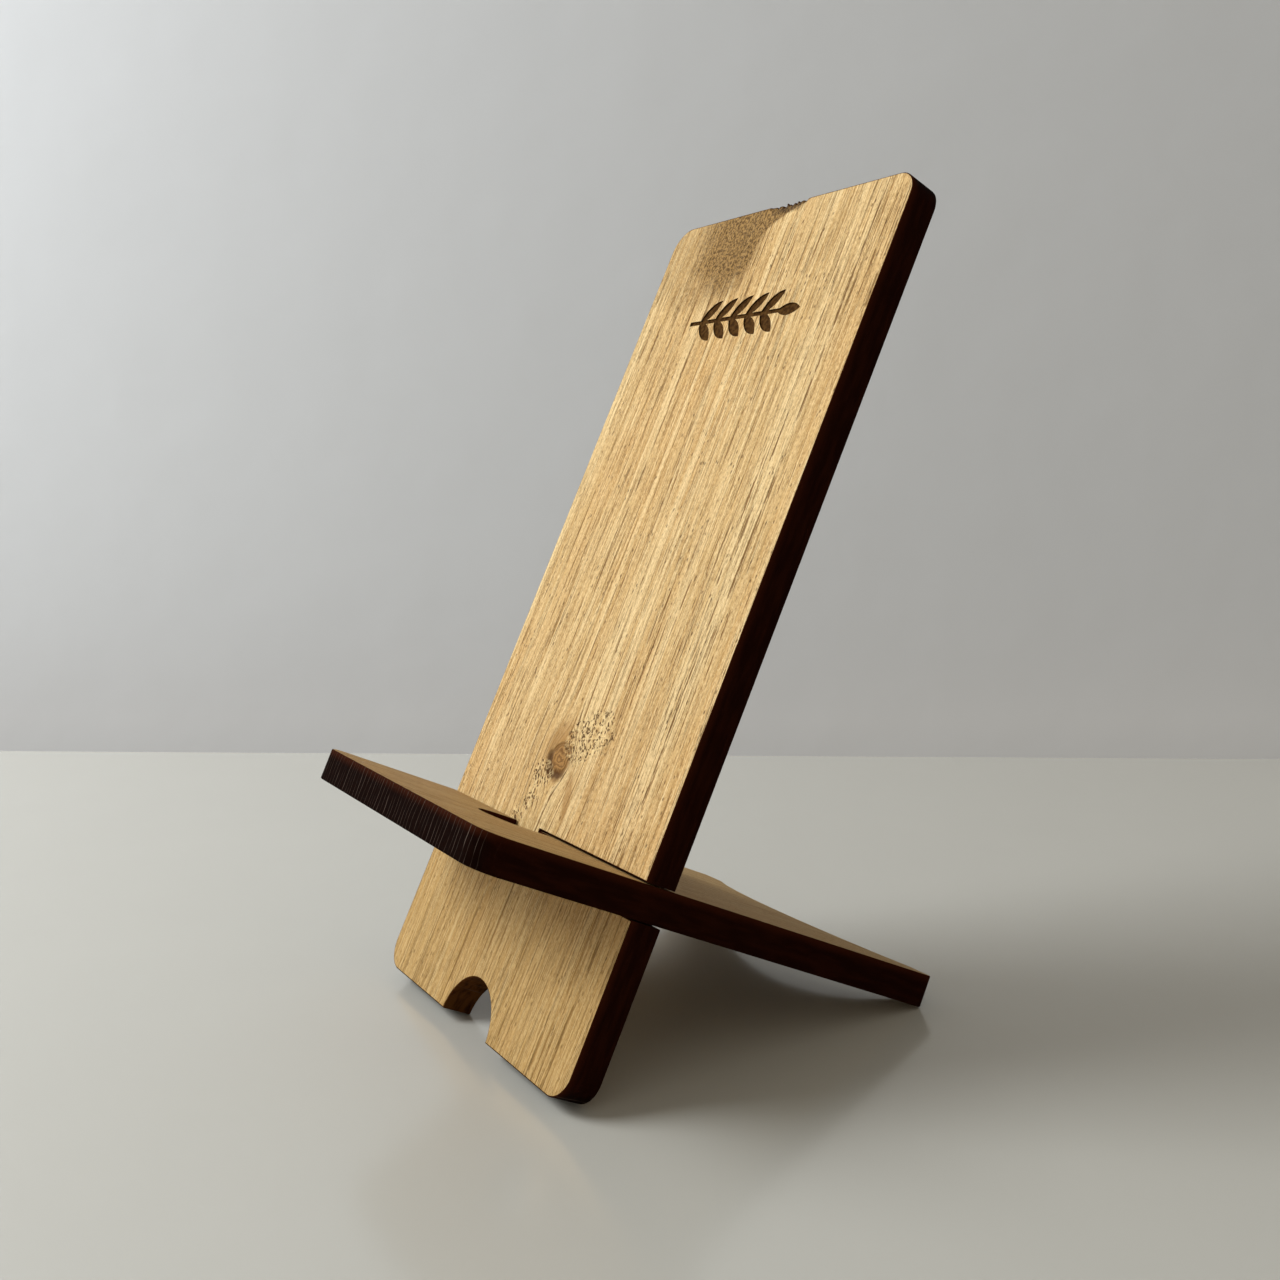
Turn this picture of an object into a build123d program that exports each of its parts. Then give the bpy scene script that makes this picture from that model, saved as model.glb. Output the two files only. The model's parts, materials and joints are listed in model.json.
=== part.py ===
"""Flat-pack phone stand: a leaning back board and a cross board that lock together in half-lap slots.

Millimetres, +Z up, the phone side faces -Y. The origin is on the table, under the middle of the stand.
Both boards are laser cut from one sheet of pine. The cross board's front end is the ledge that carries
the phone, and its rear end is the back foot. It slides in from the right-hand side, along X.
"""
import os
from math import atan2, cos, degrees, radians, sin, tan

from build123d import *

os.makedirs("parts", exist_ok=True)

# The sheet and the two blanks
board_thickness = 6.0
back_width = 75.0
back_length = 165.0
cross_width = 75.0
corner_radius = 5.0

# Where the cross board passes the back board, measured from the back board's front face
ledge_height = 37.0  # up the back board's face, from its bottom edge to the cross board's top face
ledge_reach = 30.0  # forward, to the ledge's front end
rear_reach = 68.0  # backward, to the ends of the two rear feet

# The half-lap joint
slot_clearance = 0.15  # on each side of a board in the other board's slot
slot_end_clearance = 0.1  # how far each slot is cut past the middle of its board
settle_angle = 1.0  # the play in the slots lets the legs spread by this much past square

# The arch for a cable, in the back board's bottom edge
arch_radius = 9.25
arch_centre_drop = 0.75  # the arc's centre is this far below the edge

# The hole for a cable, in the ledge, open towards the back board
cable_hole_width = 13.5
cable_hole_reach = 11.2  # forward, from the back board's front face
cable_hole_offset = -2.0  # the hole's middle, left of the board's middle

# The two rear feet, with a shallow arc between them
foot_width = 6.0
foot_arc_rise = 9.0
foot_corner_radius = 1.5

# The engraved sprig near the top of the back board: a stem with pairs of leaves and one at its tip
sprig_height = 141.0  # up the board, to the stem
sprig_length = 36.0
sprig_depth = 0.3
stem_width = 0.9
leaf_pairs = 5
leaf_length = 7.0
leaf_bulge = 1.25  # half a leaf's width
leaf_angle = 38.0

# The stand's lean: both boards touch the table, the back board with the rear arris of its bottom edge
# and the cross board with the lower arris of its feet. "up" runs along the back board's face and "out"
# is forward from it. Both are worked out before the stand is tilted.
settle = radians(settle_angle)
foot_up = ledge_height + rear_reach * sin(settle) - board_thickness * cos(settle)
foot_out = -rear_reach * cos(settle) - board_thickness * sin(settle)
lean = atan2(foot_up, -foot_out - board_thickness)
ledge_slope = lean - settle


def behind(up, out):
    """How far a point of the tilted stand lies behind the back board's front bottom arris."""
    return up * sin(lean) - out * cos(lean)


# The origin is midway between the stand's foremost and rearmost points.
ledge_up = ledge_height - ledge_reach * sin(settle) - board_thickness * cos(settle)
ledge_out = ledge_reach * cos(settle) - board_thickness * sin(settle)
foremost = min(behind(ledge_up, ledge_out), 0.0)
rearmost = max(
    behind(back_length, -board_thickness),
    behind(foot_up + board_thickness * cos(settle), foot_out + board_thickness * sin(settle)),
)
toe = Vector(0, -(foremost + rearmost) / 2, board_thickness * sin(lean))

up_board = Vector(0, sin(lean), cos(lean))
back_face = Plane(origin=toe, x_dir=(1, 0, 0), z_dir=(0, -cos(lean), sin(lean)))
cross_face = Plane(
    origin=toe + up_board * ledge_height,
    x_dir=(1, 0, 0),
    z_dir=(0, sin(ledge_slope), cos(ledge_slope)),
)

# A slot holds the other board's thickness as it crosses at the settled angle.
lean_in_slot = board_thickness * tan(settle)
slot_height = board_thickness / cos(settle) + lean_in_slot + 2 * slot_clearance

# One leaf of the sprig, with its root at the origin and its tip along +X
with BuildSketch() as leaf:
    with BuildLine():
        ThreePointArc((0, 0), (leaf_length / 2, leaf_bulge), (leaf_length, 0))
        ThreePointArc((leaf_length, 0), (leaf_length / 2, -leaf_bulge), (0, 0))
    make_face()

# The back board: rounded corners, the slot from its right edge to its middle, and the cable arch
slot_centre = ledge_height + (lean_in_slot - board_thickness / cos(settle)) / 2
back_slot_depth = back_width / 2 + slot_end_clearance
with BuildPart() as back_board:
    with BuildSketch(back_face):
        with Locations((0, back_length / 2)):
            RectangleRounded(back_width, back_length, corner_radius)
        with Locations((-slot_end_clearance, slot_centre)):
            Rectangle(back_slot_depth, slot_height, align=(Align.MIN, Align.CENTER), mode=Mode.SUBTRACT)
        with Locations((0, -arch_centre_drop)):
            Circle(arch_radius, mode=Mode.SUBTRACT)
    extrude(amount=-board_thickness)

    # The sprig is burnt into the front face. Its stem runs on to the middle of the leaf at its tip, and
    # its first pair of leaves grows half a leaf along the stem.
    stem_start = -sprig_length / 2
    stem_end = sprig_length / 2 - leaf_length / 2
    tip_root = stem_end - leaf_length / 2
    first_pair = stem_start + leaf_length / 2
    pair_spacing = (tip_root - first_pair) / leaf_pairs
    with BuildSketch(back_face):
        with Locations((stem_start, sprig_height)):
            Rectangle(stem_end - stem_start, stem_width, align=(Align.MIN, Align.CENTER))
        with Locations((tip_root, sprig_height)):
            add(leaf.sketch)
        for pair in range(leaf_pairs):
            with Locations((first_pair + pair * pair_spacing, sprig_height)):
                add(leaf.sketch, rotation=leaf_angle)
                add(leaf.sketch, rotation=-leaf_angle)
    extrude(amount=-sprig_depth, mode=Mode.SUBTRACT)
back_board.part.label = "back_board"
export_step(back_board.part, "parts/back_board.step")

# The cross board, drawn on its top face with +Y to the rear: the ledge's rounded front corners, the slot
# from its left edge to its middle, the cable hole, and the arc that leaves two feet at the rear
cross_length = ledge_reach + rear_reach
cross_slot_depth = cross_width / 2 + slot_end_clearance
foot_arc_width = cross_width - 2 * foot_width
foot_arc_radius = (foot_arc_width**2 / 4 + foot_arc_rise**2) / (2 * foot_arc_rise)
with BuildPart() as cross_board:
    with BuildSketch(cross_face):
        with Locations((0, -ledge_reach)):
            blank = Rectangle(cross_width, cross_length, align=(Align.CENTER, Align.MIN))
        fillet(blank.vertices().group_by(Axis.Y)[0], corner_radius)
        fillet(blank.vertices().group_by(Axis.Y)[-1], foot_corner_radius)
        with Locations((0, rear_reach - foot_arc_rise + foot_arc_radius)):
            Circle(foot_arc_radius, mode=Mode.SUBTRACT)
        with Locations((slot_end_clearance, -lean_in_slot - slot_clearance)):
            Rectangle(cross_slot_depth, slot_height, align=(Align.MAX, Align.MIN), mode=Mode.SUBTRACT)
        with Locations((cable_hole_offset, cable_hole_width / 2 - cable_hole_reach)):
            Circle(cable_hole_width / 2, mode=Mode.SUBTRACT)
        with Locations((cable_hole_offset, 0)):
            Rectangle(
                cable_hole_width,
                cable_hole_reach - cable_hole_width / 2,
                align=(Align.CENTER, Align.MAX),
                mode=Mode.SUBTRACT,
            )
    extrude(amount=-board_thickness)
cross_board.part.label = "cross_board"
export_step(cross_board.part, "parts/cross_board.step")

print(f"lean from upright {degrees(lean):.2f}, ledge slope {degrees(ledge_slope):.2f} degrees")
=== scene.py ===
"""A flat-pack phone stand of two laser-cut pine boards, on a pale table. Metres, in the CAD's frame."""
import json
from math import asin, ceil, cos, degrees, pi, radians, sin, tan

import bpy
import numpy as np
from mathutils import Matrix, Vector, geometry, noise


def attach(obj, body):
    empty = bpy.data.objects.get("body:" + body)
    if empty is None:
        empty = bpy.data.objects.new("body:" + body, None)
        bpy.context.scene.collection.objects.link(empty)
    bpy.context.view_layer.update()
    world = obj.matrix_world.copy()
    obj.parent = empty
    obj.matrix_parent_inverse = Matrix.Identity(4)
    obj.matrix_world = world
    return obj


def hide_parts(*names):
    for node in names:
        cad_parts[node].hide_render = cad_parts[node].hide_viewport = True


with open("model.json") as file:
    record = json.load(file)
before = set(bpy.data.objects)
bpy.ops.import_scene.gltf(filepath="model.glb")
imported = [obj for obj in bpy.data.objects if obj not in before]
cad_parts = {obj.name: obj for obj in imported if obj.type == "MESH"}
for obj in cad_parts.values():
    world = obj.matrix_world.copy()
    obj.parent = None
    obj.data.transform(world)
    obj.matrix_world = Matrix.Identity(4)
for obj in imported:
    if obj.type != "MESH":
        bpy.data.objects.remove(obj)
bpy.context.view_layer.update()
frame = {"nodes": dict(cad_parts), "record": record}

# ------------------------------------------------------------------------------------------------
# The back board. The phone leans on this: one blank of pine, planed and sanded to a 6 mm sheet and
# cut out by laser, with a slot from its right edge to its middle, an arch for a lead in its bottom
# edge and a sprig burnt in near its top. It stands on the rear arris of its bottom edge.
# ------------------------------------------------------------------------------------------------
mm = 0.001
mounts = {mount["name"]: mount for mount in frame["record"]["mounts"]}


class Blank:
    """A flat board of the frame: its sizes in mm, and its place, with X across the board, Y along the
    grain and Z out of its face."""

    def __init__(self, node, face_mount):
        face = mounts[face_mount]
        across = Vector((1, 0, 0))
        out = Vector(face["axis"]).normalized()
        along = out.cross(across)
        points = [vertex.co for vertex in frame["nodes"][node].data.vertices]
        wide = [point.dot(across) for point in points]
        long = [point.dot(along) for point in points]
        deep = [point.dot(out) for point in points]
        self.place = Matrix((across, along, out)).transposed().to_4x4()
        self.place.translation = along * min(long) + out * max(deep)
        self.width = (max(wide) - min(wide)) / mm
        self.length = (max(long) - min(long)) / mm
        self.thickness = (max(deep) - min(deep)) / mm


back = Blank("back_board", "phone_back_rest")
cross = Blank("cross_board", "phone_ledge")
half = back.width / 2
corner_radius = 5.0

# The half-lap: each board's slot holds the other board's thickness as it crosses at the settled angle,
# with a clearance on each side, and runs a little past the middle.
slot_clearance = 0.15
slot_end_clearance = 0.1
board_angle = Vector(mounts["phone_back_rest"]["axis"]).angle(Vector(mounts["phone_ledge"]["axis"]))
settle = pi / 2 - board_angle
slot_lean = back.thickness * tan(settle)
slot_height = back.thickness / cos(settle) + slot_lean + 2 * slot_clearance
ledge_height = 37.0
slot_low = ledge_height + (slot_lean - back.thickness / cos(settle) - slot_height) / 2
slot_high = slot_low + slot_height

# The arch's arc is centred a little below the bottom edge.
arch_radius = 9.25
arch_drop = 0.75
arc_step = 2  # degrees between the points of a round stretch


def arc(centre, radius, start, end):
    """Points along an arc from one angle to another, in degrees."""
    count = ceil(abs(end - start) / arc_step)
    turns = [radians(start + (end - start) * i / count) for i in range(count + 1)]
    return [(centre[0] + radius * cos(a), centre[1] + radius * sin(a)) for a in turns]


def corner(x, y, radius, start):
    """A blank's rounded corner inside the point (x, y): a quarter turn that begins at an angle."""
    inside_x = x - radius if x > 0 else x + radius
    inside_y = y - radius if y > 0 else y + radius
    return arc((inside_x, inside_y), radius, start, start + 90)


def trace(points, pitch):
    """A closed outline through the points, divided so that no step is longer than the pitch."""
    traced = []
    for a, b in zip(points, points[1:] + points[:1]):
        a, b = np.array(a, float), np.array(b, float)
        steps = ceil(np.linalg.norm(b - a) / pitch)
        traced += [a + (b - a) * i / steps for i in range(steps)]
    return np.array(traced)


def inside(points, loop):
    """Which of the points lie inside a closed loop."""
    held = np.zeros(len(points), bool)
    for (ax, ay), (bx, by) in zip(loop, np.roll(loop, -1, axis=0)):
        if ay != by:
            beside = (points[:, 1] < ay) != (points[:, 1] < by)
            held ^= beside & (points[:, 0] < ax + (points[:, 1] - ay) * (bx - ax) / (by - ay))
    return held


def normals(outline):
    """The way out of the board at each point of its outline, longer at a sharp corner so that an inset
    stays even."""
    before = outline - np.roll(outline, 1, axis=0)
    after = np.roll(outline, -1, axis=0) - outline
    sides = []
    for side in (before, after):
        side = side / np.linalg.norm(side, axis=1)[:, None]
        sides.append(np.stack([side[:, 1], -side[:, 0]], axis=1))
    return (sides[0] + sides[1]) / (1 + (sides[0] * sides[1]).sum(1))[:, None]


# The cut edge. Both arrises are eased, and the cut is rough by a few hundredths of a millimetre. The
# outline's steps are longer than the arris is wide, or a face's rim would fold at a sharp corner.
outline_pitch = 0.33
arris = 0.22
arris_turns = [0, 30, 60, 90]  # degrees round an arris, for its rows of the mesh
cut_rows = 9  # between the arrises
cut_roughness = 0.035
streak_along, streak_down = 1.7, 0.25  # streaks per mm along the outline and down the edge
chip_fade = 1.5  # how far down the edge a chip reaches
chip_inset = 0.6  # how far in a chip goes for each mm that it goes down
rim_margin = 0.3  # how far a face's inner points stay from its rim and its marks
same_point = 1e-5  # points this near are one
whole_hull = 0  # the fill keeps every triangle, and those outside the border are dropped after it
smooth_below = 38  # degrees between faces that are shaded as one


def cut_profile(thickness):
    """Depth and inset of each row of a cut edge, from the face to the far side."""
    top = [(arris * (1 - cos(radians(a))), arris * (1 - sin(radians(a)))) for a in arris_turns]
    middle = [(arris + (thickness - 2 * arris) * i / cut_rows, 0.0) for i in range(1, cut_rows)]
    return top + middle + [(thickness - depth, inset) for depth, inset in reversed(top)]


def fill(border, marks, grid):
    """Fills a border with triangles that keep the marks' outlines and stand on the grid's points. Gives
    the corners' places, which corners are the border's, the triangles, and which of them are marked."""
    flat = [tuple(p) for p in border]
    edges = [(i, (i + 1) % len(border)) for i in range(len(border))]
    for mark in marks:
        first = len(flat)
        flat += [tuple(p) for p in mark]
        edges += [(first + i, first + (i + 1) % len(mark)) for i in range(len(mark))]
    outlines = np.array(flat)
    free = np.array(grid)
    free = free[inside(free, border)]
    clear = np.array([np.min(np.sum((outlines - p) ** 2, axis=1)) for p in free])
    flat += [tuple(p) for p in free[clear > rim_margin**2]]
    filled = geometry.delaunay_2d_cdt(flat, edges, [], whole_hull, same_point)
    corners, _, triangles, origins, _, _ = filled
    corners = np.array(corners)
    triangles = np.array(triangles)
    triangles = triangles[inside(corners[triangles].mean(1), border)]
    marked = np.zeros(len(triangles), bool)
    for mark in marks:
        marked |= inside(corners[triangles].mean(1), np.array(mark))
    on_border = {new: min(old) for new, old in enumerate(origins) if old and min(old) < len(border)}
    return corners, on_border, triangles, marked


# The order of a board's materials
face_kind, edge_kind, mark_kind = 0, 1, 2


def make_board(name, blank, outline, grid, relief, marks=(), mark_depth=0.0, chip=None):
    """A board: two faces and the cut edge between them. relief tells how far down the front face is
    worn at a point, and chip how far its arris is broken. The marks are sunk into the front face."""
    outward = normals(outline)
    profile = cut_profile(blank.thickness)
    count = len(outline)
    run = np.concatenate([[0], np.cumsum(np.linalg.norm(np.diff(outline, axis=0), axis=1))])
    vertices, faces, kinds = [], [], []

    # The cut edge is a grid of rows down the thickness, with streaks of roughness that run down it too.
    for depth, inset in profile:
        for i in range(count):
            streak = Vector((run[i] * streak_along, depth * streak_down, blank.length))
            taken = inset + cut_roughness * (0.5 + 0.5 * noise.noise(streak))
            lost = chip(*outline[i]) * max(0.0, 1 - depth / chip_fade) if chip else 0.0
            x, y = outline[i] - outward[i] * (taken + chip_inset * lost)
            vertices.append((x, y, -depth - lost))
    last_row = (len(profile) - 1) * count
    for upper in range(0, last_row, count):
        lower = upper + count
        for i in range(count):
            j = (i + 1) % count
            faces.append((upper + i, lower + i, lower + j, upper + j))
            kinds.append(edge_kind)

    # The front face hangs in the first row of the edge, and the rear face in the last.
    for front, rim in ((True, 0), (False, last_row)):
        border = np.array([vertex[:2] for vertex in vertices[rim : rim + count]])
        corners, on_border, triangles, marked = fill(border, marks if front else [], grid)
        made = {}

        def place(point, sunk):
            """The mesh's vertex for a corner of the fill, on the face or on the floor of a mark."""
            if point in on_border and not sunk:
                return rim + on_border[point]
            if (point, sunk) not in made:
                x, y = corners[point]
                level = -relief(x, y) if front else -blank.thickness
                made[point, sunk] = len(vertices)
                vertices.append((x, y, level - (mark_depth if sunk else 0.0)))
            return made[point, sunk]

        # Where a sunk triangle meets one that isn't, a wall stands on their shared side.
        sides = {}
        for triangle, sunk in zip(triangles, marked):
            turned = triangle if front else triangle[::-1]
            faces.append(tuple(place(int(point), bool(sunk)) for point in turned))
            kinds.append(mark_kind if sunk else face_kind)
            for a, b in zip(turned, np.roll(turned, -1)):
                sides.setdefault((min(a, b), max(a, b)), []).append((bool(sunk), int(a), int(b)))
        for uses in sides.values():
            if len(uses) == 2 and uses[0][0] != uses[1][0]:
                _, a, b = uses[1] if uses[0][0] else uses[0]
                faces.append((place(b, False), place(a, False), place(a, True), place(b, True)))
                kinds.append(mark_kind)

    mesh = bpy.data.meshes.new(name)
    mesh.from_pydata([Vector(v) * mm for v in vertices], [], faces)
    mesh.polygons.foreach_set("material_index", kinds)
    mesh.validate()
    mesh.update()
    piece = bpy.data.objects.new(name, mesh)
    bpy.context.scene.collection.objects.link(piece)
    piece.matrix_world = blank.place
    mesh.shade_smooth()
    mesh.set_sharp_from_angle(angle=radians(smooth_below))
    return piece


def grid_spots(blank, pitch, fine=()):
    """A triangular grid of points over a blank. In each fine spot (x, y, radius, pitch) it is finer."""
    row_rise = 0.866  # of rows of triangles whose sides are 1
    spots = []
    for x0, y0, radius, step in [(0.0, blank.length / 2, None, pitch), *fine]:
        wide = radius or blank.width / 2
        high = radius or blank.length / 2
        for row in range(int(2 * high / (step * row_rise)) + 1):
            y = y0 - high + row * step * row_rise
            shift = step / 2 * (row % 2)
            for column in range(int(2 * wide / step) + 1):
                x = x0 - wide + column * step + shift
                if radius:
                    wanted = (x - x0) ** 2 + (y - y0) ** 2 < radius**2
                else:
                    wanted = all((x - a) ** 2 + (y - b) ** 2 >= f**2 for a, b, f, _ in fine)
                if wanted:
                    spots.append((x, y))
    return spots


arch_start = degrees(asin(arch_drop / arch_radius))
back_outline = trace(
    corner(-half, 0, corner_radius, 180)
    + arc((0, -arch_drop), arch_radius, 180 - arch_start, arch_start)
    + arc((half - corner_radius, corner_radius), corner_radius, -90, 0)
    + [(half, slot_low), (-slot_end_clearance, slot_low)]
    + [(-slot_end_clearance, slot_high), (half, slot_high)]
    + corner(half, back.length, corner_radius, 0)
    + corner(-half, back.length, corner_radius, 90),
    outline_pitch,
)

# The sprig: a stem with pairs of leaves, and one leaf at its tip, each leaf a lens of two arcs.
sprig_height = 141.0
sprig_length = 36.0
sprig_depth = 0.3
stem_width = 0.9
leaf_pairs = 5
leaf_length = 7.0
leaf_bulge = 1.25
leaf_angle = 38.0


def leaf(root, angle):
    """A leaf's outline, from its root and back."""
    radius = (leaf_length**2 / 4 + leaf_bulge**2) / (2 * leaf_bulge)
    spread = degrees(asin(leaf_length / 2 / radius))
    lower = arc((leaf_length / 2, radius - leaf_bulge), radius, 270 - spread, 270 + spread)
    upper = arc((leaf_length / 2, leaf_bulge - radius), radius, 90 - spread, 90 + spread)
    turned_x, turned_y = cos(radians(angle)), sin(radians(angle))
    return [
        (root[0] + x * turned_x - y * turned_y, root[1] + x * turned_y + y * turned_x)
        for x, y in lower[:-1] + upper[:-1]
    ]


stem_start = -sprig_length / 2
stem_end = sprig_length / 2 - leaf_length / 2
tip_root = stem_end - leaf_length / 2
first_pair = stem_start + leaf_length / 2
stem_low, stem_high = sprig_height - stem_width / 2, sprig_height + stem_width / 2
sprig = [
    [(stem_start, stem_low), (stem_end, stem_low), (stem_end, stem_high), (stem_start, stem_high)],
    leaf((tip_root, sprig_height), 0),
]
for pair in range(leaf_pairs):
    root = (first_pair + pair * (tip_root - first_pair) / leaf_pairs, sprig_height)
    sprig += [leaf(root, leaf_angle), leaf(root, -leaf_angle)]

# What the timber shows: a knot with torn grain above and below it, and at the top left a brown patch
# where the bark was near, with a chip out of the top arris. Each torn patch has its centre, its reach
# across and along the grain, and how badly it is torn.
knot = (-2.7, 50.4)
knot_radius = 3.5
torn_patches = [
    ((2.2, 54.8), 6.5, 5.0, 1.4),
    ((6.8, 57.6), 7.0, 5.5, 0.6),
    ((-6.6, 46.9), 4.2, 3.2, 1.5),
    ((-7.9, 42.2), 2.6, 3.2, 0.9),
    ((-10.2, 38.2), 2.8, 2.4, 0.7),
]
chip_from, chip_to = -5.0, 7.5

# How deep the marks of the timber are, and how many lumps they have per mm across and along the grain
grain_depth = 0.02
grain_lumps = (0.9, 0.02)
pit_depth = 0.12
pit_lumps = (1.6, 1.3)
pit_threshold = 0.45
groove_depth = 0.12
groove_reach = 0.8
knot_squash = 1.6  # the knot is wider across the grain than along it
chip_band = 0.5  # how far below the top edge a chipped point can be
chip_broad, chip_small = 0.9, 3.1  # lumps per mm


def near(x, y, centre, reach_x, reach_y):
    """1 at the centre of a patch, falling smoothly to 0 at its reach."""
    r = ((x - centre[0]) / reach_x) ** 2 + ((y - centre[1]) / reach_y) ** 2
    return max(0.0, 1 - r) ** 2


def grain_wear(x, y, seed):
    """How far the sander took down the soft early wood between the rings."""
    lump = noise.noise(Vector((x * grain_lumps[0], y * grain_lumps[1], seed)))
    return grain_depth * (0.5 + 0.5 * lump)


def back_relief(x, y):
    """How far down the face is: torn pits, a groove at the knot's rim, and the soft grain."""
    torn = sum(near(x, y, centre, wide, high) * share for centre, wide, high, share in torn_patches)
    lumps = 0.5 + 0.5 * noise.noise(Vector((x * pit_lumps[0], y * pit_lumps[1], 2.0)))
    pits = pit_depth * torn * max(0.0, lumps - pit_threshold)
    from_knot = ((x - knot[0]) ** 2 + (y - knot[1]) ** 2 * knot_squash) ** 0.5
    groove = groove_depth * max(0.0, 1 - abs(from_knot - knot_radius) / groove_reach)
    return pits + groove + grain_wear(x, y, 5.0)


def back_chip(x, y):
    """How deep the top edge's arris is chipped: a jagged dip, deepest in the middle of its length."""
    if y < back.length - chip_band or not chip_from < x < chip_to:
        return 0.0
    along = (x - chip_from) / (chip_to - chip_from)
    broad = noise.noise(Vector((x * chip_broad, 3.0, 7.0)))
    small = noise.noise(Vector((x * chip_small, 9.0, 7.0)))
    return sin(pi * along) ** 0.5 * max(0.0, 0.35 + 0.55 * (broad + 0.8 * small))


# The face's mesh is finer round the knot, where the grain is torn.
grid_pitch = 1.0
fine_pitch = 0.4
fine_radius = 13.0
knot_spot = (knot[0] + 1.5, knot[1] + 1.5, fine_radius, fine_pitch)
back_board = make_board(
    "back_board_pine",
    back,
    back_outline,
    grid_spots(back, grid_pitch, [knot_spot]),
    back_relief,
    sprig,
    sprig_depth,
    back_chip,
)


class Wire:
    """A socket's value on its way through a material. Sums and products of wires add their own Math
    nodes, and any wire of a material can start other nodes in it."""

    def __init__(self, tree, socket=None):
        self.tree = tree
        self.socket = socket

    def node(self, kind, settings=None, sockets=None, out=0):
        """A new node: its settings first, then its sockets' values or links. Gives an output's wire."""
        made = self.tree.nodes.new(kind)
        for name, value in (settings or {}).items():
            setattr(made, name, value)
        by_name = {socket.identifier: socket for socket in made.inputs}
        for name, value in (sockets or {}).items():
            if isinstance(value, Wire):
                self.tree.links.new(value.socket, by_name[name])
            elif isinstance(value, tuple) and len(by_name[name].default_value) == 4:
                by_name[name].default_value = (*value, 1)
            else:
                by_name[name].default_value = value
        found = [socket for i, socket in enumerate(made.outputs) if out in (i, socket.identifier)]
        return Wire(self.tree, found[0] if found else None)

    def maths(self, operation, first, second=0.0):
        sockets = {"Value": first, "Value_001": second}
        return self.node("ShaderNodeMath", {"operation": operation}, sockets)

    def __add__(self, other):
        return self.maths("ADD", self, other)

    def __radd__(self, other):
        return self.maths("ADD", other, self)

    def __sub__(self, other):
        return self.maths("SUBTRACT", self, other)

    def __rsub__(self, other):
        return self.maths("SUBTRACT", other, self)

    def __mul__(self, other):
        return self.maths("MULTIPLY", self, other)

    def __rmul__(self, other):
        return self.maths("MULTIPLY", other, self)

    def __truediv__(self, other):
        return self.maths("DIVIDE", self, other)

    def __rtruediv__(self, other):
        return self.maths("DIVIDE", other, self)

    def __pow__(self, other):
        return self.maths("POWER", self, other)

    def __mod__(self, other):
        return self.maths("FLOORED_MODULO", self, other)

    def __abs__(self):
        return self.maths("ABSOLUTE", self)

    def at_least(self, low):
        return self.maths("MAXIMUM", self, low)

    def fade(self, low, high):
        """0 below low and 1 above high, with a smooth climb between."""
        sockets = {"Value": self, "From Min": low, "From Max": high}
        return self.node("ShaderNodeMapRange", {"interpolation_type": "SMOOTHSTEP"}, sockets)

    def vector(self, x, y, z):
        return self.node("ShaderNodeCombineXYZ", {}, {"X": x, "Y": y, "Z": z})

    def clouds(self, x, y, z=0.0, detail=2.0, rough=0.5):
        """Smooth noise about 0.5, at a place given in sizes of its own lumps."""
        sockets = {"Vector": self.vector(x, y, z), "Scale": 1.0, "Detail": detail, "Roughness": rough}
        return self.node("ShaderNodeTexNoise", {}, sockets)

    def cells(self, x, y, z=0.0):
        """How far the nearest of many scattered points is, in sizes of their spacing."""
        return self.node("ShaderNodeTexVoronoi", {}, {"Vector": self.vector(x, y, z), "Scale": 1.0})

    def blend(self, under, over, share):
        """The over colour laid on the under colour, by a share from 0 to 1."""
        sockets = {"Factor_Float": share, "A_Color": under, "B_Color": over}
        return self.node("ShaderNodeMix", {"data_type": "RGBA"}, sockets, "Result_Color")


def new_material(name):
    """A bare material, and the wires that its maths starts from: the place on the board, in mm."""
    material = bpy.data.materials.new(name)
    material.use_nodes = True
    material.node_tree.nodes.clear()
    start = Wire(material.node_tree)
    place = start.node("ShaderNodeTexCoord", {}, {}, "Object")
    sockets = {"Vector": place, "Scale": 1 / mm}
    scaled = start.node("ShaderNodeVectorMath", {"operation": "SCALE"}, sockets)
    split = start.node("ShaderNodeSeparateXYZ", {}, {"Vector": scaled})
    outputs = split.socket.node.outputs
    x, y, z = (Wire(material.node_tree, outputs[i]) for i in range(3))
    return material, x, y, z


def finish_material(start, colour, roughness, height, depth, shine):
    """The surface shader. The depth is how many mm stand for a height from 0 to 1."""
    bump = start.node("ShaderNodeBump", {}, {"Distance": depth * mm, "Height": height})
    sockets = {
        "Base Color": colour,
        "Roughness": roughness,
        "Specular IOR Level": shine,
        "Normal": bump,
    }
    surface = start.node("ShaderNodeBsdfPrincipled", {}, sockets)
    start.node("ShaderNodeOutputMaterial", {}, {"Surface": surface})


# Pine as sawn and sanded, in linear colour
early_wood = (0.64, 0.435, 0.20)
late_wood = (0.46, 0.265, 0.082)
pale_wood = (0.85, 0.66, 0.36)
warm_wood = (0.54, 0.30, 0.10)
line_wood = (0.20, 0.098, 0.027)
speck_wood = (0.09, 0.045, 0.016)
wood_shine = 0.12


def oval(x, y, centre, reach_x, reach_y, edge=0.6):
    """1 in an oval patch, falling smoothly to 0 at its reach. An edge near 1 makes the rim sharp."""
    over = (x - centre[0]) / reach_x
    up = (y - centre[1]) / reach_y
    return 1 - (over * over + up * up).fade(edge, 1.0)


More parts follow.
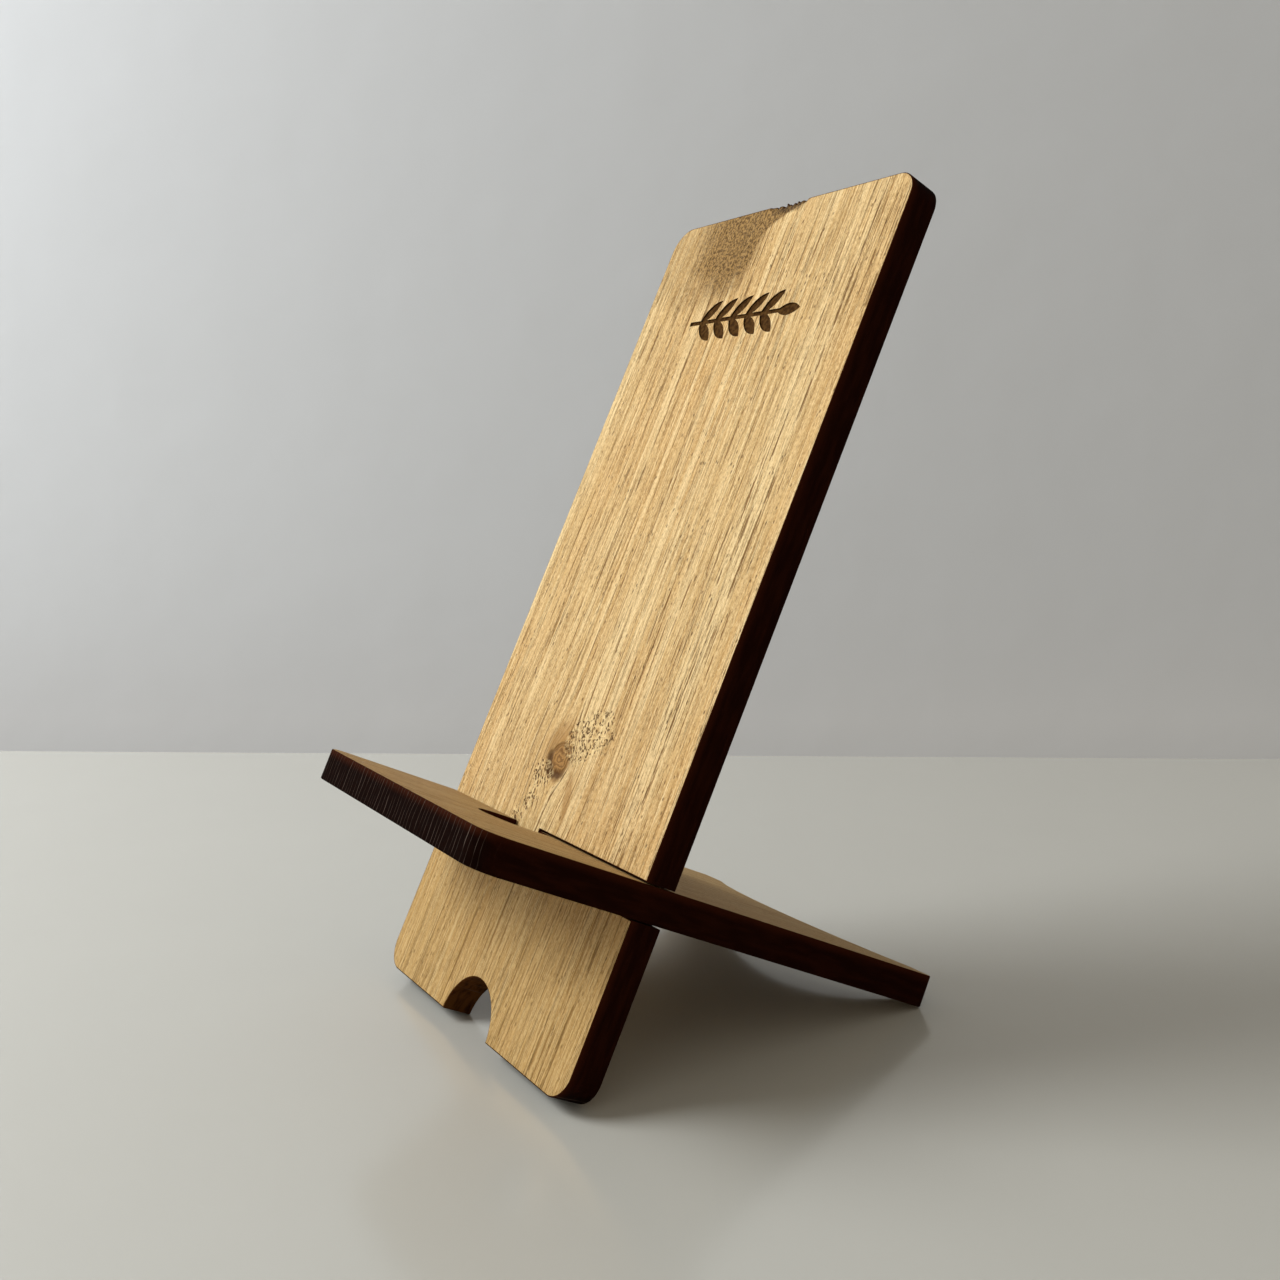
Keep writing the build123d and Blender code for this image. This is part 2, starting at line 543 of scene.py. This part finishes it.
def grain(x, y, z, layout, knot_at=None, swirl=0.0):
    """Where each fibre lies across the board, in mm. The grain runs along Y, drifts a little, leans
    through the thickness, and flows round a knot of the radius swirl as water flows round a post."""
    wander = x.clouds(x * 0.012, y * 0.005, z * 0.012 + layout, 1.0)
    ripple = x.clouds(x * 0.06, y * 0.016, z * 0.06 + layout + 9, 1.0)
    across = x + (wander - 0.5) * 6 + (ripple - 0.5) * 0.7 + z * 0.22
    if knot_at:
        over = x - knot_at[0]
        up = (y - knot_at[1]) * 0.75
        far = (over * over + up * up) / (swirl * swirl)
        across = across - over / far.at_least(1.0)
    return across


# The thin dark lines in the wood: their pitch per mm, seed, width and strength
canal_sizes = [(0.45, 31, 0.009, 1.0), (0.9, 33, 0.014, 0.9), (1.7, 35, 0.022, 0.8)]


def timber(x, y, z, across, layout):
    """The colour and height of sound pine, from its growth rings down to its pores."""
    # Growth rings, 2 to 4 mm wide: pale early wood that darkens towards a thin late-wood line
    ring = (across * 0.36 + x.clouds(across * 0.11, y * 0.002, layout + 3, 1.0) * 2.6) % 1.0
    late = ring.fade(0.35, 0.93) * (1 - ring.fade(0.95, 1.0))
    # Broad changes of tone and wide pale streaks
    tone = x.clouds(across * 0.09, y * 0.012, z * 0.09 + layout + 5, 2.0)
    streak = x.clouds(across * 0.34, y * 0.005, z * 0.34 + layout + 11, 3.0, 0.65).fade(0.50, 0.64)
    # Fibres, finer fibres, and the grit of the open pores
    fibre = x.clouds(across * 1.3, y * 0.03, z * 1.3 + layout + 17, 2.0, 0.6)
    fine = x.clouds(across * 3.2, y * 0.07, z * 3.2 + layout + 23, 2.0, 0.6)
    mottle = x.clouds(x * 2.6, y * 1.1, z * 2.6 + layout + 29, 2.0, 0.75)
    # Resin canals, cut along their length, that start and stop
    lines = 0.0
    for pitch, seed, width, share in canal_sizes:
        middle = x.clouds(across * pitch, y * 0.004 * pitch, z * pitch + layout + seed, 1.0)
        broken = x.clouds(across * 0.7, y * 0.10, layout + seed + 6, 4.0, 0.75).fade(0.44, 0.56)
        lines = (1 - abs(middle - 0.5).fade(0.0, width)) * broken * share + lines
    # Small dark specks, short and along the grain
    kept = x.clouds(x * 0.2, y * 0.12, layout + 41, 1.0).fade(0.38, 0.58)
    speck = (1 - x.cells(across * 0.9, y * 0.45, z * 0.9 + layout).fade(0.08, 0.22)) * kept

    colour = x.blend(early_wood, late_wood, late * 0.4)
    colour = x.blend(colour, warm_wood, tone.fade(0.40, 0.75) * 0.45)
    colour = x.blend(colour, pale_wood, streak * 0.6)
    colour = x.blend(colour, late_wood, fibre.fade(0.46, 0.70) * 0.25)
    colour = x.blend(colour, line_wood, fine.fade(0.52, 0.72) * 0.45)
    colour = x.blend(colour, pale_wood, (1 - fine.fade(0.30, 0.46)) * 0.7)
    colour = x.blend(colour, line_wood, mottle.fade(0.50, 0.68) * 0.42)
    colour = x.blend(colour, pale_wood, (1 - mottle.fade(0.32, 0.48)) * 0.45)
    colour = x.blend(colour, line_wood, lines.fade(0.0, 0.8) * 0.9)
    colour = x.blend(colour, speck_wood, speck * 0.75)
    height = fibre * 0.2 + fine * 0.35 + mottle * 0.55 - lines * 0.7 - speck * 0.6 - late * 0.2
    return colour, height


# The knot, with a halo and a streak of browner wood round it
halo_at = (knot[0] - 1.3, knot[1] + 1.6)
halo_reach = (7.0, 7.5)
tail_at = (4.7, 44.5)
tail_reach = (1.6, 6.0)
halo_wood = (0.34, 0.175, 0.052)
heart_wood = (0.34, 0.18, 0.056)
heart_ring = (0.14, 0.060, 0.015)
knot_rim = (0.070, 0.028, 0.008)


def knot_wood(x, y, colour, height):
    """Lays the knot on the timber."""
    # A halo, mostly above it, and a streak that runs down from it
    halo = oval(x, y, halo_at, *halo_reach, 0.08)
    tail = oval(x + (y - tail_at[1]) * 0.3, y, tail_at, *tail_reach, 0.1)
    colour = x.blend(colour, halo_wood, halo * 0.7 + tail * 0.6)
    # The heart has rings, and a dark rim that is darkest and widest below.
    over = x - knot[0]
    up = (y - knot[1]) * 1.15
    rough_edge = (x.clouds(x * 0.6, y * 0.6, 3.0) - 0.5) * 1.6
    far = (over * over + up * up) ** 0.5 + rough_edge
    heart = 1 - far.fade(knot_radius * 0.8, knot_radius)
    rings = ((far + rough_edge) * 0.95) % 1.0
    heart_colour = x.blend(heart_wood, heart_ring, rings.fade(0.2, 0.9) * 0.9)
    colour = x.blend(colour, heart_colour, heart * 0.92)
    below = 1 - (up + over * 0.5).fade(-2.6, 1.2)
    rim = (1 - abs(far - knot_radius).fade(0.2, 0.7 + below * 1.2)) * (0.35 + 0.65 * below)
    colour = x.blend(colour, knot_rim, rim * 0.92)
    return colour, height - rim * 0.6


# Torn grain: clusters of dark pits between pale ruffled fibres
ruffled_wood = (0.86, 0.66, 0.33)
pit_wood = (0.095, 0.040, 0.010)


def torn_grain(x, y, colour, height):
    """Lays the torn patches on the timber."""
    torn = 0.0
    for centre, reach_x, reach_y, share in torn_patches:
        torn = oval(x, y, centre, reach_x, reach_y, 0.0) * share + torn
    bent = (x.clouds(x * 0.9, y * 0.9, 47.0, 2.0) - 0.5) * 2.2
    pits = 1 - x.cells(x * 1.7 + bent * 1.3, y * 1.35 - bent, 51.0).fade(0.26, 0.50)
    clump = x.clouds(x * 0.8, y * 0.7, 53.0, 2.0, 0.6)
    pit = pits * (torn * 0.9 + clump * 2.0).fade(1.0, 1.45) * torn.fade(0.0, 0.2)
    ruffle = x.clouds(x * 1.3 + 7, y * 1.1, 57.0, 2.0, 0.7)
    ruffled = torn.fade(0.05, 0.5) * ruffle.fade(0.42, 0.60)
    colour = x.blend(colour, ruffled_wood, ruffled * 0.45)
    colour = x.blend(colour, pit_wood, pit * 0.95)
    return colour, height - pit * 0.7 + torn * ruffle * 0.25


# The brown patch, where the bark was near. Its right side curves towards the chip from this point up.
patch_bend = (-4.3, 158)
patch_wood = (0.34, 0.20, 0.068)
patch_grit = (0.075, 0.034, 0.009)
chip_wood = (0.06, 0.032, 0.013)
chip_reach = 2.8


def bark_patch(x, y, colour, height):
    """Lays the brown patch on the timber, and the chip's broken wood, which is dark in its pits."""
    up = y - patch_bend[1]
    right_side = patch_bend[0] + up * 0.08 + up.at_least(0.0) ** 2 * 0.26
    ragged = (x.clouds(x * 0.6, y * 0.45, 61.0, 3.0, 0.7) - 0.5) * 4.0
    drifted = (x.clouds(x * 0.09, y * 0.07, 63.0, 2.0) - 0.5) * 16
    patch = 1 - (x - right_side + ragged * 0.4).fade(-0.6, 0.6)
    patch = patch * (y + ragged * 2 + drifted).fade(143.0, 155.0)
    patch = patch * (0.3 + 0.7 * (x + ragged * 2 + drifted).fade(-33.0, -18.0))
    grit = x.clouds(x * 1.8, y * 1.4, 67.0, 2.0, 0.7)
    patch_colour = x.blend(patch_wood, patch_grit, grit.fade(0.44, 0.58) * 0.9)
    colour = x.blend(colour, patch_colour, patch * 0.94)
    chip_at = ((chip_from + chip_to) / 2, back.length)
    chipped = oval(x, y, chip_at, (chip_to - chip_from) / 2, chip_reach, 0.3)
    colour = x.blend(colour, chip_wood, chipped * (0.45 + grit.fade(0.40, 0.55) * 0.5))
    return colour, height + patch * (grit - 0.5) * 1.4


back_layout = 0.0  # where in the timber it was cut
# Painted shade: the face darkens and browns towards its foot, where the ledge shades it
foot_shade_wood = (0.40, 0.24, 0.075)
foot_shade_fade = (18.0, 48.0)


def back_pine():
    """The back board's face: straight grain round one knot, torn grain beside it, and the brown patch.
    Towards its foot it is painted darker and browner, as painted shade where the ledge shades the face."""
    material, x, y, z = new_material("back_pine")
    across = grain(x, y, z, back_layout, knot_at=knot, swirl=3.4)
    colour, height = timber(x, y, z, across, back_layout)
    # Painted shade under the ledge, darkest at the foot
    colour = x.blend(colour, foot_shade_wood, (1 - y.fade(*foot_shade_fade)) * 0.5)
    colour, height = knot_wood(x, y, colour, height)
    colour, height = torn_grain(x, y, colour, height)
    colour, height = bark_patch(x, y, colour, height)
    roughness = 0.55 + 0.16 * x.clouds(x * 0.8, y * 0.4, 71.0)
    finish_material(x, colour, roughness, height, depth=0.2, shine=wood_shine)
    return material


# Wood burnt by the laser: char, darker on the ends of the grain and redder next to the face, and the
# ash left where the beam passed the hard late wood
char_dark, char_light = (0.011, 0.0020, 0.0007), (0.020, 0.0042, 0.0015)
char_ends = (0.0035, 0.0014, 0.0009)
char_red = (0.055, 0.011, 0.003)
char_pale = (0.085, 0.030, 0.007)
ash = (0.105, 0.076, 0.060)
soot_dark, soot_light = (0.036, 0.015, 0.004), (0.085, 0.040, 0.011)
pale_reach = 14.0
red_depth = 1.8


def burnt_edge(name, layout, paler_at=None):
    """A laser-cut edge. Across the ends of the grain it has lines of ash; along the grain it is smooth.
    Round the point paler_at it is a paler brown."""
    material, x, y, z = new_material(name)
    across = grain(x, y, z, layout)
    normal = x.node("ShaderNodeTexCoord", {}, {}, "Normal")
    end_on = abs(x.node("ShaderNodeSeparateXYZ", {}, {"Vector": normal}, "Y")).fade(0.35, 0.8)
    wave = (x.clouds(x * 0.08, 0.0, z * 0.14 + layout, 1.0) - 0.5) * 1.6
    crowd = x.clouds(x * 0.16, 0.0, layout + 43, 2.0, 0.6) * 3.6
    beam = abs(((x + wave) * 0.72 + crowd) % 1.0 - 0.5)
    strong = x.clouds(x * 0.4, z * 0.3, layout + 47, 2.0).fade(0.30, 0.62)
    lines = (1 - beam.fade(0.015, 0.06)) * end_on * (0.15 + 0.85 * strong)
    char = x.clouds(across * 0.8, y * 0.15, z * 0.9 + layout, 3.0)
    colour = x.blend(char_dark, char_light, char.fade(0.35, 0.7))
    colour = x.blend(colour, char_ends, end_on * 0.8)
    colour = x.blend(colour, char_red, (z + red_depth).fade(0.0, red_depth) * 0.5)
    if paler_at:
        pale = oval(x, y, paler_at, pale_reach, pale_reach, 0.4)
        colour = x.blend(colour, char_pale, pale * char.fade(0.2, 0.6))
    colour = x.blend(colour, ash, lines * 0.85)
    height = char * 0.4 + lines * 0.8
    finish_material(x, colour, 0.70 + 0.2 * char, height, depth=0.12, shine=0.02)
    return material


def burnt_mark(name):
    """The floor and walls of the engraving, scorched dark brown, with the scan lines of the laser."""
    material, x, y, z = new_material(name)
    scan = x.clouds(x * 0.4, y * 7.0, 5.0, 1.0)
    soot = x.clouds(x * 1.3, y * 1.3, 9.0, 3.0)
    colour = x.blend(soot_dark, soot_light, soot.fade(0.35, 0.65))
    height = scan * 0.5 + soot * 0.5
    finish_material(x, colour, 0.8 + 0.1 * scan, height, depth=0.1, shine=0.05)
    return material


arch_at = (0.0, 0.0)
back_board.data.materials.append(back_pine())
back_board.data.materials.append(burnt_edge("back_edge", back_layout, paler_at=arch_at))
back_board.data.materials.append(burnt_mark("burnt_sprig"))
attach(back_board, "back_board")
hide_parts("back_board")

# ------------------------------------------------------------------------------------------------
# The cross board. Its front end is the ledge that holds the phone and its rear end is the back foot:
# the same pine sheet and laser, with a slot from its left edge to its middle, a hole for a charging
# lead that runs into the slot, and a shallow arc at its rear end that leaves two feet.
# ------------------------------------------------------------------------------------------------
cross_half = cross.width / 2
ledge_reach = 30.0
foot_radius = 1.5
foot_width = 6.0
foot_arc_rise = 9.0
hole_width = 13.5
hole_reach = 11.2
hole_offset = -2.0

cross_slot_low = ledge_reach - slot_lean - slot_clearance
cross_slot_high = cross_slot_low + slot_height
hole_left = hole_offset - hole_width / 2
hole_right = hole_offset + hole_width / 2
hole_round_at = (hole_offset, ledge_reach - hole_reach + hole_width / 2)
arc_half = cross_half - foot_width
arc_radius = (arc_half**2 + foot_arc_rise**2) / (2 * foot_arc_rise)
arc_at = (0.0, cross.length - foot_arc_rise + arc_radius)
arc_end = degrees(asin(arc_half / arc_radius))

cross_outline = trace(
    corner(-cross_half, 0, corner_radius, 180)
    + arc((cross_half - corner_radius, corner_radius), corner_radius, -90, 0)
    + corner(cross_half, cross.length, foot_radius, 0)
    + arc(arc_at, arc_radius, arc_end - 90, -arc_end - 90)
    + corner(-cross_half, cross.length, foot_radius, 90)
    + [(-cross_half, cross_slot_high), (slot_end_clearance, cross_slot_high)]
    + [(slot_end_clearance, ledge_reach), (hole_right, ledge_reach)]
    + arc(hole_round_at, hole_width / 2, 0, -180)
    + [(hole_left, cross_slot_low), (-cross_half, cross_slot_low)],
    outline_pitch,
)


def cross_relief(x, y):
    """The soft grain alone."""
    return grain_wear(x, y, 15.0)


cross_grid = grid_spots(cross, grid_pitch)
cross_board = make_board("cross_board_pine", cross, cross_outline, cross_grid, cross_relief)

cross_layout = 140.0  # cut from another part of the timber
# Painted shade: the cross board's pine is darkened and browned to stand for the shade on its top
cross_shade_wood = (0.245, 0.140, 0.046)


def cross_pine():
    """The cross board's face: plain straight grain, painted darker and browner than the back board's as
    painted shade for its top, which faces away from the light.
    """
    material, x, y, z = new_material("cross_pine")
    across = grain(x, y, z, cross_layout)
    colour, height = timber(x, y, z, across, cross_layout)
    # Painted shade laid over the whole face
    colour = x.blend(colour, cross_shade_wood, 0.6)
    roughness = 0.55 + 0.16 * x.clouds(x * 0.8, y * 0.4, 171.0)
    finish_material(x, colour, roughness, height, depth=0.12, shine=wood_shine)
    return material


cross_board.data.materials.append(cross_pine())
cross_board.data.materials.append(burnt_edge("cross_edge", cross_layout))
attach(cross_board, "cross_board")
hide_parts("cross_board")

# ------------------------------------------------------------------------------------------------
# The table and the wall behind it: an off-white laminate top with a soft shine, which stands close to
# a matt painted wall. They aren't part of the object.
# ------------------------------------------------------------------------------------------------
wall_turn = radians(48.8)  # from the X axis
table_rear = Vector((-0.1719, 0.1057, 0.0))  # a point of the table's rear edge
wall_gap = 0.06  # between the table and the wall
side, front = 3.0, 2.0  # how far the table reaches to each side and forward
low, tall = 0.8, 2.5  # how far the wall reaches below the table and above it


def sheet(name, corners):
    """A flat stage piece through four corners."""
    mesh = bpy.data.meshes.new(name)
    mesh.from_pydata(corners, [], [(0, 1, 2, 3)])
    piece = bpy.data.objects.new(name, mesh)
    bpy.context.scene.collection.objects.link(piece)
    return piece


wall_along = Vector((cos(wall_turn), sin(wall_turn), 0))
wall_back = Vector((-sin(wall_turn), cos(wall_turn), 0))
left, right = table_rear - wall_along * side, table_rear + wall_along * side
table = sheet("table", [left - wall_back * front, right - wall_back * front, right, left])
left, right = left + wall_back * wall_gap, right + wall_back * wall_gap
down, up = Vector((0, 0, -low)), Vector((0, 0, tall))
wall = sheet("wall", [left + down, right + down, right + up, left + up])


def painted(name, colour, roughness, depth, shine):
    """Plain paint or laminate with a barely uneven surface."""
    material, x, y, z = new_material(name)
    uneven = x.clouds(x * 0.03, y * 0.03, z * 0.03, 3.0)
    shade = x.blend(tuple(c * 0.97 for c in colour), colour, uneven)
    finish_material(x, shade, roughness, uneven, depth, shine)
    return material


off_white = (0.47, 0.46, 0.42)
cool_grey = (0.63, 0.645, 0.67)
table_top = painted("table_top", off_white, roughness=0.18, depth=0.02, shine=0.95)
wall_paint = painted("wall_paint", cool_grey, roughness=0.9, depth=0.3, shine=0.3)
table.data.materials.append(table_top)
wall.data.materials.append(wall_paint)

# ------------------------------------------------------------------------------------------------
# The light and the camera: one tall window to the front left, the room's own soft light, and a
# camera close to the table that looks at the stand from its front right.
# ------------------------------------------------------------------------------------------------
window_aim = Vector((0, 0, 0.05))
window = bpy.data.objects.new("window", bpy.data.lights.new("window", "AREA"))
window.data.shape = "RECTANGLE"
window.data.size = 0.7
window.data.size_y = 0.5
window.data.energy = 16.5
window.data.color = (0.95, 0.98, 1.0)
window.visible_glossy = False
window.location = (-0.64, -0.72, 0.86)
window.rotation_euler = (window_aim - window.location).to_track_quat("-Z", "Y").to_euler()
bpy.context.scene.collection.objects.link(window)

# Daylight that only grazes the wall, from beyond the left of the view. Neither lamp shows in a
# reflection, so that the table has no burnt-out patch.
wash = bpy.data.objects.new("wash", bpy.data.lights.new("wash", "AREA"))
wash.data.size = 0.5
wash.data.energy = 2.2
wash.data.color = (0.93, 0.97, 1.0)
wash.visible_glossy = False
wash.location = table_rear - wall_along * 0.62 - wall_back * 0.12 + Vector((0, 0, 0.45))
wash.rotation_euler = (wall_back + wall_along * 0.9).to_track_quat("-Z", "Y").to_euler()
bpy.context.scene.collection.objects.link(wash)

world = bpy.data.worlds.new("room")
world.use_nodes = True
world.node_tree.nodes["Background"].inputs["Color"].default_value = (1.0, 0.92, 0.78, 1)
world.node_tree.nodes["Background"].inputs["Strength"].default_value = 0.45
bpy.context.scene.world = world
bpy.context.scene.view_settings.view_transform = "Standard"

camera = bpy.data.objects.new("camera", bpy.data.cameras.new("camera"))
camera.location = (0.21868, -0.12428, 0.10560)
camera.rotation_euler = (radians(81.665), radians(2.043), radians(59.031))
camera.data.sensor_width = 36
camera.data.lens = 38.62
camera.data.clip_start = 0.01
bpy.context.scene.collection.objects.link(camera)
bpy.context.scene.camera = camera
